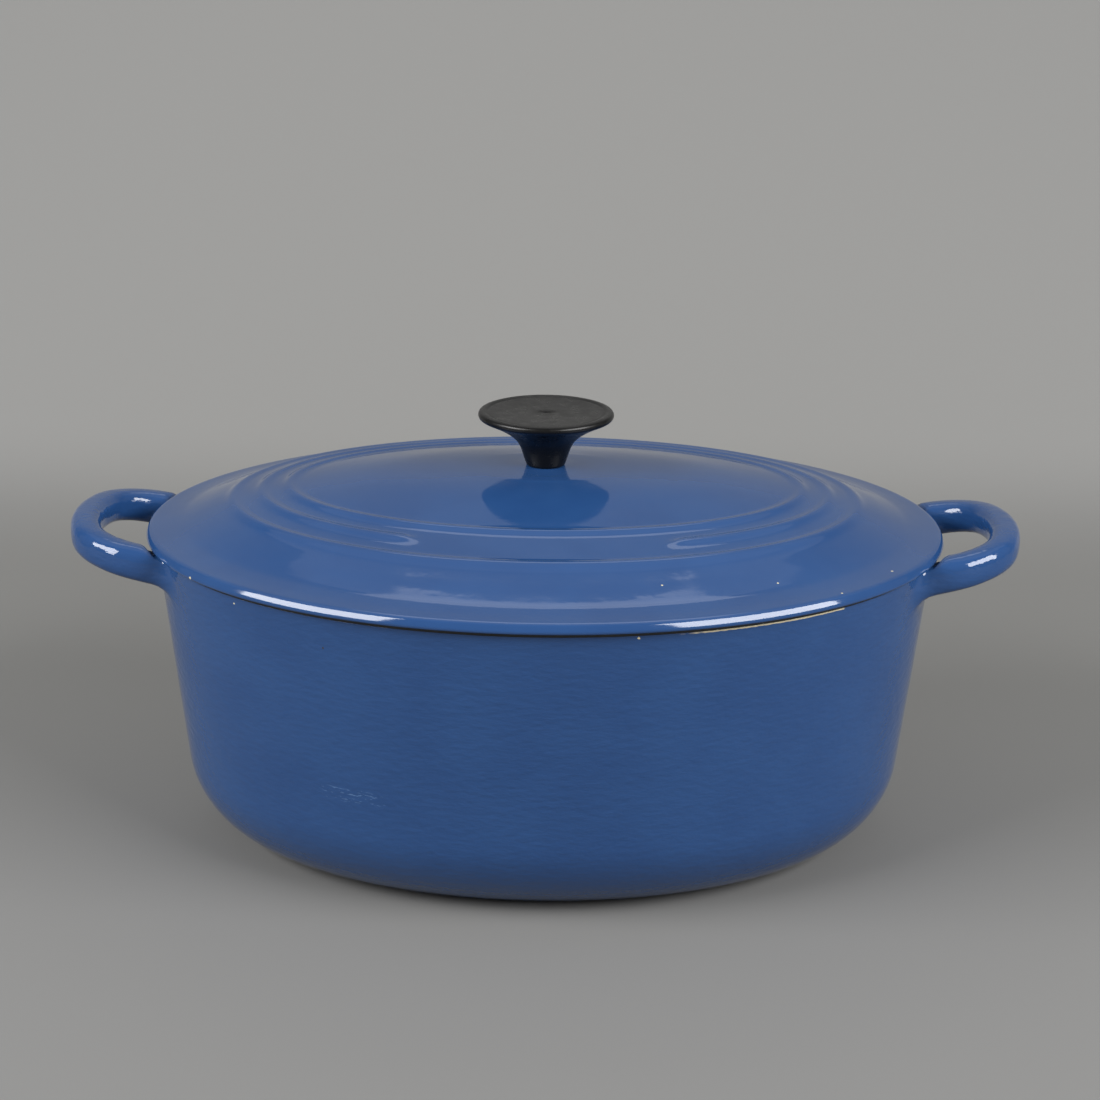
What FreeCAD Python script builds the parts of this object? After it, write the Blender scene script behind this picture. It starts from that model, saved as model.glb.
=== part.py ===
import FreeCAD, Part
import math
import os

# Oval enamelled cast iron dutch oven. Millimetres. X runs along the length, through both handles,
# and Z is up. The origin is the middle of the base, on the surface that the pot stands on.

Vec = FreeCAD.Vector

# Driving dimensions
LID_HALF_LENGTH = 163.0
LID_HALF_WIDTH = 130.0
LID_SEAT_Z = 128.3          # underside of the lid's flange
LID_EDGE_HEIGHT = 3.8
LID_THICKNESS = 4.6         # iron and both coats
LID_HEIGHT_RISE = 24.0      # from the flange's top to the middle of the dome
SEAT_GAP = 0.1              # the lid rests on the rim with this much air, as a ground seat does
RIM_Z = LID_SEAT_Z - SEAT_GAP
RIM_HALF_LENGTH = 159.5
RIM_HALF_WIDTH = 126.0
FOOT_HALF_LENGTH = 144.0    # where the wall's line would meet the base, without the round
FOOT_HALF_WIDTH = 108.4
BASE_ROUND = 34.0
WALL = 4.4                  # iron and both coats
FLOOR = 5.0
COAT = 0.4                  # thickness of one enamel coat

RIB_DEPTH = 5.0             # locating rib under the lid, inside the pot's mouth
RIB_CLEARANCE = 1.5
RIB_WIDTH = 4.0

HANDLE_TIP_X = 194.3
HANDLE_HALF_SPAN = 37.0     # centre line of the loop, across
HANDLE_HALF_WIDTH = 6.2
HANDLE_HALF_HEIGHT = 6.5
HANDLE_ROOT_Z = 123.7       # centre line where it leaves the wall
HANDLE_RISE = 0.22          # how steeply the loop climbs outwards
HANDLE_CORNER = 24.0
HANDLE_TIP_RADIUS = 68.0
HANDLE_BURIED = 16.0        # how far each root runs on into the wall's inside
LID_CLEARANCE = 0.6         # between the loops' roots and the lid that hangs over them
LID_ROOM_SLOPE = 0.65       # how steeply the roots' tops may climb away from the lid's edge

BOSS_RADIUS = 7.9
BOSS_TOP_Z = 156.8
KNOB_RADIUS = 27.6
KNOB_EDGE_Z = 177.7
KNOB_TOP_Z = 179.4
# The knob's trumpet: radius and height over the boss.
KNOB_FLARE = [(7.9, 0.0), (8.4, 1.7), (9.0, 3.5), (9.7, 5.6), (10.7, 8.2), (12.0, 10.3), (13.8, 12.1),
              (16.6, 14.2), (20.2, 16.4), (23.8, 18.2), (26.4, 19.4)]
SCREW_RADIUS = 3.0
SCREW_HOLE_RADIUS = 3.4
SCREW_HEAD_RADIUS = 5.6
SCREW_HEAD_HEIGHT = 3.6
INSERT_RADIUS = 5.0
INSERT_LENGTH = 11.0
INSERT_RECESS = 1.0
WASHER_RADIUS = 7.0
WASHER_THICKNESS = 1.2
LOCK_WASHER_RADIUS = 5.4
LOCK_WASHER_THICKNESS = 1.5
OVERSHOOT = 5.0             # how far a cutting shape runs on past what it cuts
BIG = 300.0                 # more than any half size of the object

# The flange's edge leans back a little: how far in, and how high over the seat.
LID_EDGE_LINE = [(0.9, 0.0), (0.25, 0.6), (0.0, 1.2), (0.25, 1.9), (0.75, 2.95)]
# The dome of the lid: how far in from the edge, and how high over the flange's outer top edge.
DOME_RISE = [(0.0, 0.0), (9.5, 1.3), (14.0, 2.3), (18.0, 3.8), (26.0, 7.1), (34.0, 10.25), (47.0, 13.5),
             (58.0, 15.6), (70.0, 17.8), (80.0, 19.35), (90.0, 20.75), (102.0, 22.0), (112.0, 22.7),
             (126.0, 23.4), (140.0, 23.85), (148.0, LID_HEIGHT_RISE)]
# How much shorter the half width is than the half length, by distance in from the edge.
OVAL_DIFFERENCE = [(0.0, LID_HALF_LENGTH - LID_HALF_WIDTH), (35.0, 37.5), (58.0, 39.5), (90.0, 33.0),
                   (125.0, 15.0), (143.0, 1.5), (148.0, 0.0)]
RING_INSETS = [35.0, 47.0, 58.3]
RING_HEIGHT = 1.1
RING_SPREAD = 2.4
PANEL_HALF_LENGTH = 51.0    # the middle ring stops either side of a plain panel at the front
PANEL_BACK_Y = -50.0
PLANED_TO = 0.03            # what the planing leaves of the ring there
# Radius and height over the dome where the boss springs from it.
BOSS_FLARE = [(17.0, 0.05), (14.0, 0.18), (11.5, 0.36), (9.3, 0.56)]


def smooth_value(points, x):
    """Height of a smooth curve through the points, at x."""
    if x <= points[0][0]:
        return points[0][1]
    if x >= points[-1][0]:
        return points[-1][1]
    slopes = []
    for i in range(len(points)):
        low = points[max(i - 1, 0)]
        high = points[min(i + 1, len(points) - 1)]
        slopes.append((high[1] - low[1]) / (high[0] - low[0]))
    i = max(k for k in range(len(points) - 1) if points[k][0] <= x)
    x0, y0 = points[i]
    x1, y1 = points[i + 1]
    span = x1 - x0
    t = (x - x0) / span
    start = (1 + 2 * t) * (1 - t) ** 2 * y0 + t * (1 - t) ** 2 * span * slopes[i]
    end = t * t * (3 - 2 * t) * y1 + t * t * (t - 1) * span * slopes[i + 1]
    return start + end


def oval_wire(section):
    half_length, half_width, z = section
    if half_length - half_width < 1e-6:
        return Part.Wire(Part.Circle(Vec(0, 0, z), Vec(0, 0, 1), half_length).toShape())
    return Part.Wire(Part.Ellipse(Vec(0, 0, z), half_length, half_width).toShape())


def oval_solid(sections):
    """Solid skinned over level oval sections, each a half length, a half width and a height."""
    return Part.makeLoft([oval_wire(section) for section in sections], True, True)


def slab(z_low, z_high):
    """A block wider than the object, between two heights."""
    return Part.makeBox(2 * BIG, 2 * BIG, z_high - z_low, Vec(-BIG, -BIG, z_low))


def turned(points):
    """Solid of revolution about Z, from a closed outline of radius and height."""
    outline = [Vec(radius, 0, z) for radius, z in points]
    outline.append(outline[0])
    return Part.Face(Part.makePolygon(outline)).revolve(Vec(0, 0, 0), Vec(0, 0, 1), 360)


def pin(radius, z_low, z_high):
    return Part.makeCylinder(radius, z_high - z_low, Vec(0, 0, z_low))


# Pot

def pot_wall_at(z):
    share = z / LID_SEAT_Z
    half_length = FOOT_HALF_LENGTH + share * (RIM_HALF_LENGTH - FOOT_HALF_LENGTH)
    half_width = FOOT_HALF_WIDTH + share * (RIM_HALF_WIDTH - FOOT_HALF_WIDTH)
    return half_length, half_width


def pot_form(inset, floor_z, top_z, corner):
    """The pot's outer form drawn in by an inset, as a full solid from floor to top."""
    sections = []
    for step in range(9):
        angle = math.radians(90.0 * step / 8)
        z = floor_z + corner * (1 - math.cos(angle))
        drawn_in = inset + corner * (1 - math.sin(angle))
        half_length, half_width = pot_wall_at(z)
        sections.append((half_length - drawn_in, half_width - drawn_in, z))
    lowest_wall = floor_z + corner
    for step in range(1, 5):
        z = lowest_wall + (top_z - lowest_wall) * step / 4
        half_length, half_width = pot_wall_at(z)
        sections.append((half_length - inset, half_width - inset, z))
    return oval_solid(sections)


def handle_path():
    """Centre line of the right loop: two straight roots, two round corners and a shallow tip."""
    tip_x = HANDLE_TIP_X - HANDLE_HALF_WIDTH
    big_centre = tip_x - HANDLE_TIP_RADIUS
    corner_y = HANDLE_HALF_SPAN - HANDLE_CORNER
    reach = HANDLE_TIP_RADIUS - HANDLE_CORNER
    corner_x = big_centre + math.sqrt(reach ** 2 - corner_y ** 2)
    lean = math.atan2(corner_y, corner_x - big_centre)
    turn = lean + (math.pi / 2 - lean) / 2

    def place(x, y):
        return Vec(x, y, HANDLE_ROOT_Z + HANDLE_RISE * (x - RIM_HALF_LENGTH))

    def corner_point(angle, side):
        y = corner_y + HANDLE_CORNER * math.sin(angle)
        return place(corner_x + HANDLE_CORNER * math.cos(angle), side * y)

    root_x = RIM_HALF_LENGTH - HANDLE_BURIED
    near = [corner_point(angle, -1) for angle in (math.pi / 2, turn, lean)]
    far = [corner_point(angle, 1) for angle in (lean, turn, math.pi / 2)]
    edges = [
        Part.makeLine(place(root_x, -HANDLE_HALF_SPAN), near[0]),
        Part.Arc(near[0], near[1], near[2]).toShape(),
        Part.Arc(near[2], place(tip_x, 0), far[0]).toShape(),
        Part.Arc(far[0], far[1], far[2]).toShape(),
        Part.makeLine(far[2], place(root_x, HANDLE_HALF_SPAN)),
    ]
    return Part.Wire(edges)


def handle_loop(inset, side):
    """One loop handle drawn in by an inset. Side is 1 at +X and -1 at -X."""
    path = handle_path()
    start = path.Edges[0].Vertexes[0].Point
    oval = Part.Ellipse(Vec(0, 0, 0), HANDLE_HALF_HEIGHT - inset, HANDLE_HALF_WIDTH - inset)
    section = Part.Wire(oval.toShape())
    upright = FreeCAD.Rotation(Vec(0, 0, 1), Vec(0, 1, 0), Vec(1, 0, 0), "XYZ")
    section.Placement = FreeCAD.Placement(start, upright)
    loop = path.makePipeShell([section], True, False)
    if side < 0:
        loop = loop.rotate(Vec(0, 0, 0), Vec(0, 0, 1), 180)
    return loop


def room_for_lid(inset):
    """Flaring oval block around the lid's flange, which the loops' roots stay out of."""
    beyond = LID_CLEARANCE + inset
    length = LID_HALF_LENGTH + beyond
    width = LID_HALF_WIDTH + beyond
    low = LID_SEAT_Z - LID_CLEARANCE - 1.5 * inset
    flare = HANDLE_TIP_X - LID_HALF_LENGTH
    return oval_solid([(length, width, low), (length + flare, width + flare, low + flare * LID_ROOM_SLOPE)])


def pot_outside(inset):
    form = pot_form(inset, inset, RIM_Z - COAT, BASE_ROUND - inset)
    loops = [handle_loop(inset, side).cut(room_for_lid(inset)) for side in (1, -1)]
    return form.fuse(loops).removeSplitter()


def pot_hollow(grow):
    """Space inside the pot, made larger by grow, and open past the rim."""
    corner = BASE_ROUND - WALL + grow
    return pot_form(WALL - grow, FLOOR - grow, RIM_Z + OVERSHOOT, corner)


def pot_pieces():
    iron = pot_outside(COAT)
    glazed = pot_outside(0.0)
    hollow = pot_hollow(0.0)
    iron_hollow = pot_hollow(COAT)
    above_base = slab(COAT, RIM_Z - COAT)
    rim_band = pot_form(0.0, 0.0, RIM_Z, BASE_ROUND).common(slab(RIM_Z - COAT, RIM_Z + OVERSHOOT))
    return {
        "pot_casting": iron.cut(iron_hollow),
        "pot_outer_enamel": glazed.common(slab(COAT, BIG)).cut(iron),
        "pot_base_enamel": glazed.common(slab(-OVERSHOOT, COAT)),
        "pot_inner_enamel": iron_hollow.common(above_base).cut(hollow),
        "pot_rim_enamel": rim_band.cut(hollow),
    }


# Lid

def lid_section(distance_in, inset, rings):
    """Half length, half width and height of the lid's top face, drawn in by an inset."""
    half_length = LID_HALF_LENGTH - distance_in
    half_width = half_length - smooth_value(OVAL_DIFFERENCE, distance_in)
    rise = smooth_value(DOME_RISE, distance_in)
    for ring in rings:
        rise += RING_HEIGHT * math.exp(-((distance_in - ring) / RING_SPREAD) ** 2)
    return half_length, half_width, LID_SEAT_Z + LID_EDGE_HEIGHT + rise - inset


def domed_form(inset, rings):
    """The lid as a full solid with some of its rings, from its seat to the top of its boss."""
    top = LID_SEAT_Z + LID_EDGE_HEIGHT
    sections = []
    for drawn_in, height in LID_EDGE_LINE:
        back = drawn_in + inset
        sections.append((LID_HALF_LENGTH - back, LID_HALF_WIDTH - back, LID_SEAT_Z + height))
    distances = [1.6 + inset, 5.5, 9.5, 14.0, 18.0, 22.0, 26.0, 29.0]
    distances += [30.5 + 1.5 * step for step in range(22)]
    distances += [66.0, 72.0, 80.0, 92.0, 104.0, 116.0, 126.0, 135.0]
    for distance in distances:
        sections.append(lid_section(distance, inset, rings))
    dome_top = top + LID_HEIGHT_RISE
    for radius, height in BOSS_FLARE:
        sections.append((radius - inset, radius - inset, dome_top + height - inset))
    sections.append((BOSS_RADIUS - inset, BOSS_RADIUS - inset, BOSS_TOP_Z - inset))
    return oval_solid(sections)


def glazed_form():
    """The lid with its enamel, as a full solid. A plain panel at the front breaks the middle ring."""
    panel = Part.makeBox(2 * PANEL_HALF_LENGTH, BIG, BIG,
                         Vec(-PANEL_HALF_LENGTH, PANEL_BACK_Y - BIG, LID_SEAT_Z + LID_EDGE_HEIGHT))
    plain = domed_form(-PLANED_TO, [RING_INSETS[0], RING_INSETS[2]])
    return domed_form(0.0, RING_INSETS).cut(panel.cut(plain))


def rib_form(inset):
    """Solid oval plug whose side is the outside of the locating rib."""
    back = LID_HALF_LENGTH - RIM_HALF_LENGTH + WALL + RIB_CLEARANCE + inset
    low = LID_SEAT_Z - RIB_DEPTH + inset
    length = LID_HALF_LENGTH - back
    width = RIM_HALF_WIDTH - WALL - RIB_CLEARANCE - inset
    return oval_solid([(length - 0.5, width - 0.5, low), (length, width, LID_SEAT_Z + COAT)])


def lid_hollow(grow):
    """Space under the lid's dome, inside the rib, made larger by grow."""
    start = LID_HALF_LENGTH - RIM_HALF_LENGTH + WALL + RIB_CLEARANCE + RIB_WIDTH - grow
    low = LID_SEAT_Z - RIB_DEPTH - 1.0
    length, width, _ = lid_section(start, 0.0, [])
    roof = LID_SEAT_Z + LID_EDGE_HEIGHT - LID_THICKNESS + grow
    sections = [(length + 0.4, width + 0.4, low), (length, width, roof + 1.0)]
    for distance in (start + 3.0, 22.0, 27.0, 35.0, 47.0, 58.0, 72.0, 90.0, 110.0, 128.0, 140.0, 148.0):
        length, width, _ = lid_section(distance, 0.0, [])
        sections.append((length, width, roof + smooth_value(DOME_RISE, distance)))
    return oval_solid(sections)


def lid_pieces():
    seat_top = LID_SEAT_Z + COAT
    rib_bottom = LID_SEAT_Z - RIB_DEPTH
    hole = pin(SCREW_HOLE_RADIUS, LID_SEAT_Z, BOSS_TOP_Z + OVERSHOOT)
    hollow = lid_hollow(0.0)
    iron_hollow = lid_hollow(COAT)
    glazed = glazed_form()
    iron_top = domed_form(COAT, [RING_INSETS[0], RING_INSETS[2]]).common(slab(seat_top, BIG))
    casting = iron_top.fuse(rib_form(COAT)).cut(iron_hollow).cut(hole)
    underside = glazed.common(slab(LID_SEAT_Z, seat_top)).fuse(rib_form(0.0))
    rim = underside.cut(rib_form(COAT)).cut(hollow)
    rim = rim.cut(iron_hollow.common(slab(rib_bottom + COAT, BIG)))
    return {
        "lid_casting": casting.removeSplitter(),
        "lid_outer_enamel": glazed.common(slab(seat_top, BIG)).cut(iron_top).cut(hole),
        "lid_inner_enamel": iron_hollow.common(slab(rib_bottom + COAT, BIG)).cut(hollow).cut(hole),
        "lid_rim_enamel": rim.removeSplitter(),
    }


# Knob and its fixings

def knob():
    """Turned knob: a narrow stem that opens like a trumpet into a flat disc with a dished top."""
    base = BOSS_TOP_Z
    outline = [(0.0, base)]
    outline += [(radius, base + height) for radius, height in KNOB_FLARE]
    outline += [(27.3, KNOB_EDGE_Z - 0.8), (KNOB_RADIUS, KNOB_EDGE_Z), (27.5, KNOB_EDGE_Z + 0.8)]
    outline += [(26.9, KNOB_TOP_Z - 0.3), (25.8, KNOB_TOP_Z), (24.2, KNOB_TOP_Z - 0.3)]
    outline += [(12.0, KNOB_TOP_Z - 0.9), (0.0, KNOB_TOP_Z - 1.0)]
    body = turned(outline)
    socket_top = base + INSERT_RECESS + INSERT_LENGTH
    body = body.cut(pin(INSERT_RADIUS, base + INSERT_RECESS, socket_top))
    return body.cut(pin(SCREW_HOLE_RADIUS, base - 1.0, socket_top + 1.5))


def knob_insert():
    low = BOSS_TOP_Z + INSERT_RECESS
    body = pin(INSERT_RADIUS, low, low + INSERT_LENGTH)
    groove = pin(INSERT_RADIUS + 1.0, low + 4.5, low + 6.5)
    groove = groove.cut(pin(INSERT_RADIUS - 0.6, low + 4.5, low + 6.5))
    return body.cut(groove).cut(pin(SCREW_RADIUS, low - 1.0, low + INSERT_LENGTH + 1.0))


def washer(outer, thickness, top_z):
    ring = pin(outer, top_z - thickness, top_z)
    return ring.cut(pin(SCREW_HOLE_RADIUS, top_z - thickness - 1.0, top_z + 1.0))


def lock_washer(top_z):
    """Spring washer: a ring with a slit through one side."""
    ring = washer(LOCK_WASHER_RADIUS, LOCK_WASHER_THICKNESS, top_z)
    slit = Part.makeBox(10.0, 1.0, 5.0, Vec(0, -0.5, top_z - 3.0))
    slit = slit.rotate(Vec(0, 0, top_z), Vec(1, 0, 0), 18)
    return ring.cut(slit)


def knob_screw(head_top):
    """Pan head screw with a cross recess, pointing up."""
    head_low = head_top - SCREW_HEAD_HEIGHT
    dome = Part.makeSphere(9.0, Vec(0, 0, head_low + 9.0))
    head = pin(SCREW_HEAD_RADIUS, head_low, head_top).common(dome)
    shank_top = BOSS_TOP_Z + INSERT_RECESS + INSERT_LENGTH - 1.0
    screw = head.fuse(pin(SCREW_RADIUS, head_top - 0.5, shank_top))
    for angle in (0, 90):
        slot = Part.makeBox(5.6, 1.1, 1.8, Vec(-2.8, -0.55, head_low - 0.1))
        screw = screw.cut(slot.rotate(Vec(0, 0, 0), Vec(0, 0, 1), angle))
    return screw.removeSplitter()


def fixings():
    underside = LID_SEAT_Z + LID_EDGE_HEIGHT - LID_THICKNESS + LID_HEIGHT_RISE
    lock_top = underside - WASHER_THICKNESS
    return {
        "knob": knob(),
        "knob_insert": knob_insert(),
        "knob_washer": washer(WASHER_RADIUS, WASHER_THICKNESS, underside),
        "knob_lock_washer": lock_washer(lock_top),
        "knob_screw": knob_screw(lock_top - LOCK_WASHER_THICKNESS),
    }


def main():
    os.makedirs("parts", exist_ok=True)
    pieces = {}
    pieces.update(pot_pieces())
    pieces.update(lid_pieces())
    pieces.update(fixings())
    for name, shape in pieces.items():
        solids = shape.Solids
        box = shape.BoundBox
        print(name, "solids", len(solids), "valid", shape.isValid(), "cm3", round(shape.Volume / 1000, 2),
              "x", round(box.XMin, 2), round(box.XMax, 2), "y", round(box.YMin, 2), round(box.YMax, 2),
              "z", round(box.ZMin, 2), round(box.ZMax, 2))
        whole = solids[0] if len(solids) == 1 else Part.makeCompound(solids)
        whole.exportStep("parts/" + name + ".step")


main()
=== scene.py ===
import math

import bmesh
import bpy
import numpy as np
from mathutils import Euler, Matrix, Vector


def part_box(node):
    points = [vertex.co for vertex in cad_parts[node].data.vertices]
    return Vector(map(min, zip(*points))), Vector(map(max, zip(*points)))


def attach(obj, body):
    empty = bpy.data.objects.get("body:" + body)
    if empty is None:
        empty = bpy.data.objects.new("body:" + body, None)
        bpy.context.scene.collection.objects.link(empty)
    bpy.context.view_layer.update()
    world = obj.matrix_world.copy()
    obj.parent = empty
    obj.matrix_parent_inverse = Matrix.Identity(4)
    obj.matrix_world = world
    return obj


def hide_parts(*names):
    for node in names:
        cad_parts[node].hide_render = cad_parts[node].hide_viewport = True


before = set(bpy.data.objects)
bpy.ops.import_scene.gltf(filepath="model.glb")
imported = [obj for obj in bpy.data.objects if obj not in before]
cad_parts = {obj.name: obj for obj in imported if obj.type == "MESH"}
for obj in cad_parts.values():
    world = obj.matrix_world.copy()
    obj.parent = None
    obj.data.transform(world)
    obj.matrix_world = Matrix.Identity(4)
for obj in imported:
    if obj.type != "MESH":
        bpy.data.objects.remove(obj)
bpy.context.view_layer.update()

MM = 0.001

# ---------------------------------------------------------------- sizes, in metres

COAT = 0.4 * MM
SHOWN_COAT = 0.9 * COAT             # a visible coat stops just short of the iron under it
WALL = 4.4 * MM
BASE_ROUND = 34.0 * MM
BASE_COAT_ANGLE = math.acos(1 - COAT / BASE_ROUND)   # how far the base's coat comes up the round
FLOOR = 5.0 * MM
RIM_ROUND = 1.2 * MM
BAND_DEPTH = 2.1 * MM               # how far the black band comes down either side of the rim

LID_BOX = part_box("lid_outer_enamel")
LID_RIM_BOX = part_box("lid_rim_enamel")
RIM_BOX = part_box("pot_rim_enamel")
POT_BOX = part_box("pot_outer_enamel")
KNOB_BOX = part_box("knob")

LID_LENGTH = LID_BOX[1].x           # half lengths run along X and half widths along Y
LID_WIDTH = LID_BOX[1].y
SEAT_Z = LID_BOX[0].z - COAT
RIB_LOW_Z = LID_RIM_BOX[0].z
RIM_LENGTH = RIM_BOX[1].x
RIM_WIDTH = RIM_BOX[1].y
RIM_Z = RIM_BOX[1].z
FOOT_LENGTH = RIM_LENGTH - 15.5 * MM   # where the wall's slope would meet the floor
FOOT_WIDTH = RIM_WIDTH - 17.6 * MM
KNOB_SEAT_Z = KNOB_BOX[0].z
SCREW_HOLE = 3.4 * MM

LID_EDGE = 3.8 * MM
LID_THICKNESS = 4.6 * MM
RING_INSETS = [35.0 * MM, 47.0 * MM, 58.3 * MM]
RING_HEIGHT = 1.1 * MM
RING_SPREAD = 2.4 * MM
PANEL_HALF_LENGTH = 51.0 * MM       # the blank panel at the front, where the middle ring stops
PANEL_FADE = 3.5 * MM
RIB_CLEARANCE = 1.5 * MM
RIB_WIDTH = 4.0 * MM
RIB_ROUND = 0.8 * MM

HANDLE_TIP_X = POT_BOX[1].x
HANDLE_SPAN = 37.0 * MM
HANDLE_WIDTH = 6.2 * MM
HANDLE_ROOT_HEIGHT = 7.3 * MM       # half the loop's height at the wall, and at its tip
HANDLE_TIP_HEIGHT = 6.2 * MM
HANDLE_SQUARENESS = 2.9
HANDLE_ROOT_Z = 123.7 * MM
HANDLE_RISE = 0.22
HANDLE_CORNER = 24.0 * MM
HANDLE_TIP_RADIUS = 68.0 * MM
HANDLE_FILLET = 6.0 * MM
HANDLE_START = 16.0 * MM            # how deep in the wall a loop's centre line starts
TOP_FILLET = 0.6 * MM               # all that is left of the fillet where the lid's edge passes
FILLET_FADE = (9.0 * MM, 2.5 * MM)  # how far under the lid's seat it shrinks to that
LID_CLEARANCE = 0.6 * MM
LID_ROOM_SLOPE = 1.5
LID_ROOM_EVENING = 0.84             # brings the limit's height nearer to a distance from its slope
LID_ROOM_ROUND = 1.4 * MM
LOOP_RINGS = 46
LOOP_BRIDGE = 4                     # rings between a loop and its opening in the wall
LOOP_TURN_IN = 22.0 * MM            # over which a ring's points come round to an even spacing
OPENING_SIDE = 4.0 * MM             # how far an opening reaches past a loop's section
OPENING_BELOW = 6.0 * MM
CLOSE_ROWS_BELOW = 17.7 * MM        # how far under the roots the wall's rows start to lie closer

HOLDING_ROW = 0.05 * MM             # next to a coat's edge, to keep its seen side's shading clean
COLUMNS = 256
POT_COLUMNS = 320
KNOB_COLUMNS = 96

# Curves given as points in millimetres. The first two run inwards from the lid's edge: how high the
# dome is over it, and how much longer than wide its level ovals are, half against half.
DOME_RISE = [(0.0, 0.0), (9.5, 1.3), (14.0, 2.3), (18.0, 3.8), (26.0, 7.1), (34.0, 10.25), (47.0, 13.5),
             (58.0, 15.6), (70.0, 17.8), (80.0, 19.35), (90.0, 20.75), (102.0, 22.0), (112.0, 22.7),
             (126.0, 23.4), (140.0, 23.85), (148.0, 24.0)]
OVAL_DIFFERENCE = [(0.0, (LID_LENGTH - LID_WIDTH) / MM), (35.0, 37.5), (58.0, 39.5), (90.0, 33.0),
                   (125.0, 15.0), (143.0, 1.5), (148.0, 0.0)]
LID_RISE = DOME_RISE[-1][1] * MM

# The dome's last rise to the knob's seat: radius, and height over the dome's top.
SEAT_FLARE = [(17.0, 0.05), (15.5, 0.10), (14.0, 0.18), (12.7, 0.27), (11.5, 0.36), (10.2, 0.47), (9.3, 0.56),
              (8.6, 0.62)]

# The knob's seat, inwards to the screw's hole: radius, and drop from the knob's underside.
KNOB_SEAT = [(8.1, 0.03), (7.8, 0.0), (5.5, 0.0), (SCREW_HOLE / MM, 0.0)]

# The lid's edge from its seat upwards: how far in, and how high over the seat.
LID_EDGE_LINE = [(1.0, 0.0), (0.62, 0.05), (0.34, 0.19), (0.16, 0.4), (0.05, 0.7), (0.0, 1.0), (0.04, 1.3),
                 (0.16, 1.65), (0.35, 2.08), (0.56, 2.54), (0.78, 2.98), (0.94, 3.27), (1.1, 3.5),
                 (1.32, 3.68), (1.6, 3.8)]


def smooth_curve(points, x):
    """Heights of a smooth curve through points given in millimetres, at distances in metres."""
    xs = np.array([p[0] for p in points]) * MM
    ys = np.array([p[1] for p in points]) * MM
    slopes = np.gradient(ys, xs)
    x = np.clip(np.asarray(x, float), xs[0], xs[-1])
    i = np.clip(np.searchsorted(xs, x, side="right") - 1, 0, len(xs) - 2)
    span = xs[i + 1] - xs[i]
    t = (x - xs[i]) / span
    start = (1 + 2 * t) * (1 - t) ** 2 * ys[i] + t * (1 - t) ** 2 * span * slopes[i]
    end = t * t * (3 - 2 * t) * ys[i + 1] + t * t * (t - 1) * span * slopes[i + 1]
    return start + end


def smooth_step(low, high, x):
    """0 up to low, 1 from high on, and an even S between them."""
    t = np.clip((x - low) / (high - low), 0, 1)
    return t * t * (3 - 2 * t)


def smooth_min(a, b, k):
    """The smaller of two distances, rounded over a width k where they cross."""
    h = np.maximum(k - np.abs(a - b), 0) / k
    return np.minimum(a, b) - h * h * k / 4


def smooth_max(a, b, k):
    """The larger of two distances, rounded in the same way."""
    return -smooth_min(-a, -b, k)


# ---------------------------------------------------------------- materials

class Shader:
    """A node material with one Principled shader and short calls to wire it."""

    def __init__(self, name):
        self.material = bpy.data.materials.new(name)
        self.material.use_nodes = True
        self.tree = self.material.node_tree
        self.principled = self.tree.nodes["Principled BSDF"]
        self.place = self.add("ShaderNodeTexCoord").outputs["Object"]

    def add(self, kind, **settings):
        node = self.tree.nodes.new(kind)
        for key, value in settings.items():
            setattr(node, key, value)
        return node

    def link(self, source, target):
        self.tree.links.new(source, target)

    def set(self, **values):
        for key, value in values.items():
            self.principled.inputs[key.replace("_", " ")].default_value = value

    def stretched(self, scale):
        mapping = self.add("ShaderNodeMapping")
        mapping.inputs["Scale"].default_value = scale
        self.link(self.place, mapping.inputs["Vector"])
        return mapping.outputs["Vector"]

    def noise(self, scale, detail=2.0, roughness=0.5, stretch=None):
        node = self.add("ShaderNodeTexNoise")
        node.inputs["Scale"].default_value = scale
        node.inputs["Detail"].default_value = detail
        node.inputs["Roughness"].default_value = roughness
        self.link(self.stretched(stretch) if stretch else self.place, node.inputs["Vector"])
        return node.outputs["Fac"]

    def cells(self, scale):
        """Distance to the middle of the nearest cell."""
        node = self.add("ShaderNodeTexVoronoi")
        node.inputs["Scale"].default_value = scale
        self.link(self.place, node.inputs["Vector"])
        return node.outputs["Distance"]

    def distance(self, place):
        node = self.add("ShaderNodeVectorMath", operation="DISTANCE")
        node.inputs[1].default_value = place
        self.link(self.place, node.inputs[0])
        return node.outputs["Value"]

    def remap(self, value, low, high, to_low=0.0, to_high=1.0):
        node = self.add("ShaderNodeMapRange", interpolation_type="SMOOTHSTEP")
        for key, number in (("From Min", low), ("From Max", high), ("To Min", to_low), ("To Max", to_high)):
            node.inputs[key].default_value = number
        self.link(value, node.inputs["Value"])
        return node.outputs["Result"]

    def math(self, operation, a, b):
        node = self.add("ShaderNodeMath", operation=operation)
        for socket, value in zip(node.inputs, (a, b)):
            if isinstance(value, (int, float)):
                socket.default_value = value
            else:
                self.link(value, socket)
        return node.outputs[0]

    def mix(self, factor, a, b):
        node = self.add("ShaderNodeMix", data_type="RGBA")
        for socket, value in ((node.inputs[0], factor), (node.inputs[6], a), (node.inputs[7], b)):
            if isinstance(value, (int, float, tuple)):
                socket.default_value = value
            else:
                self.link(value, socket)
        return node.outputs[2]

    def axis(self, letter):
        node = self.add("ShaderNodeSeparateXYZ")
        self.link(self.place, node.inputs[0])
        return node.outputs[letter]

    def bump(self, height, distance):
        node = self.add("ShaderNodeBump")
        node.inputs["Distance"].default_value = distance
        self.link(height, node.inputs["Height"])
        return node.outputs["Normal"]

    def colour(self, source):
        self.link(source, self.principled.inputs["Base Color"])

    def roughness(self, source):
        self.link(source, self.principled.inputs["Roughness"])

    def normal(self, source):
        self.link(source, self.principled.inputs["Normal"])


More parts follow.
